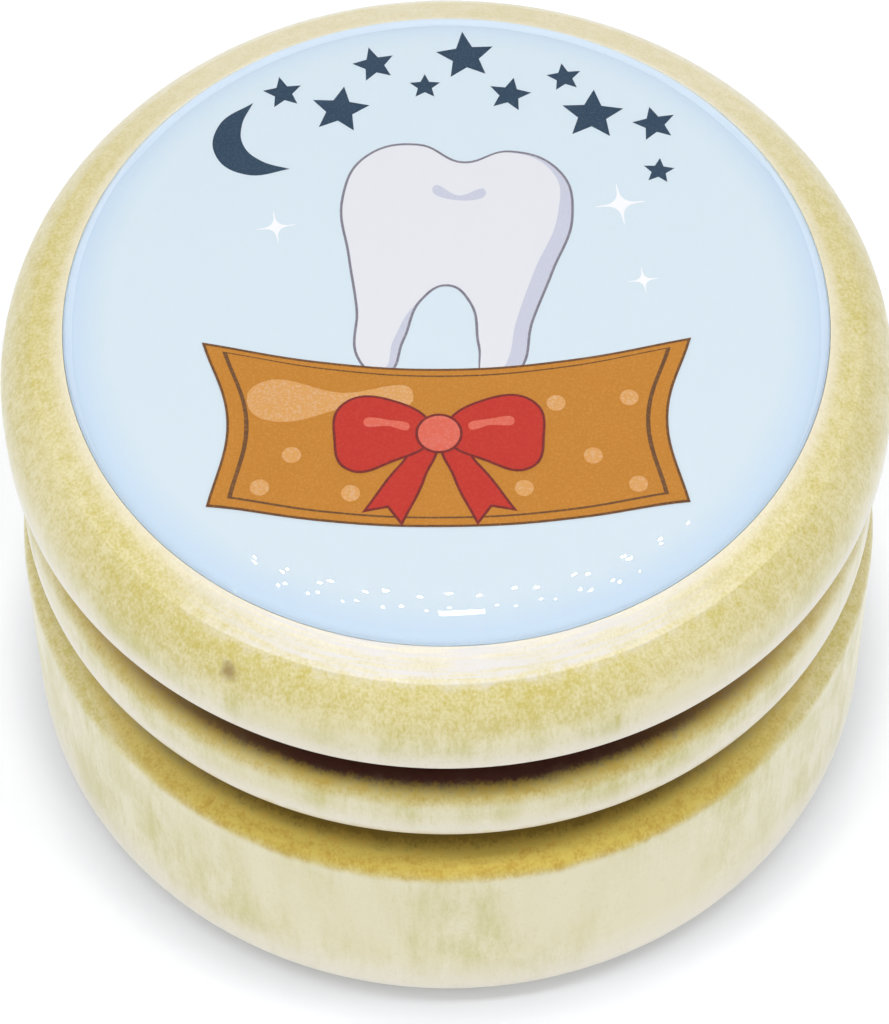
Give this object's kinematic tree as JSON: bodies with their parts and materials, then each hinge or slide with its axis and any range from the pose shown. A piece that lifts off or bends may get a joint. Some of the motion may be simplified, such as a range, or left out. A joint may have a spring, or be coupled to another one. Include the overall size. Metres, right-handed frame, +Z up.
{
  "type": "baby tooth box",
  "caption": "Small round turned wooden box for milk teeth, with a push-on lid, a coved waist, and a clear domed picture let into the lid.",
  "frame": {"origin": "centre of the flat foot that the box stands on", "axes": "+Z up along the turning axis, towards the domed picture; -Y towards the viewer"},
  "size_m": [0.044, 0.044, 0.0322],
  "materials": {
    "turned_wood": "pale turned wood under a satin clear lacquer",
    "adhesive": "milky double-sided adhesive film",
    "print": "matt printed film, light blue",
    "resin": "clear glossy doming resin"
  },
  "bodies": {
    "box": {"base": "turned_wood"},
    "cover": {"lid": "turned_wood", "adhesive_film": "adhesive", "printed_disc": "print", "resin_dome": "resin"}
  },
  "joints": [
    {"name": "lid_lift", "type": "slide", "parent": "box", "child": "cover", "axis": [0, 0, 1], "range_m": [0, 0.02]}
  ]
}
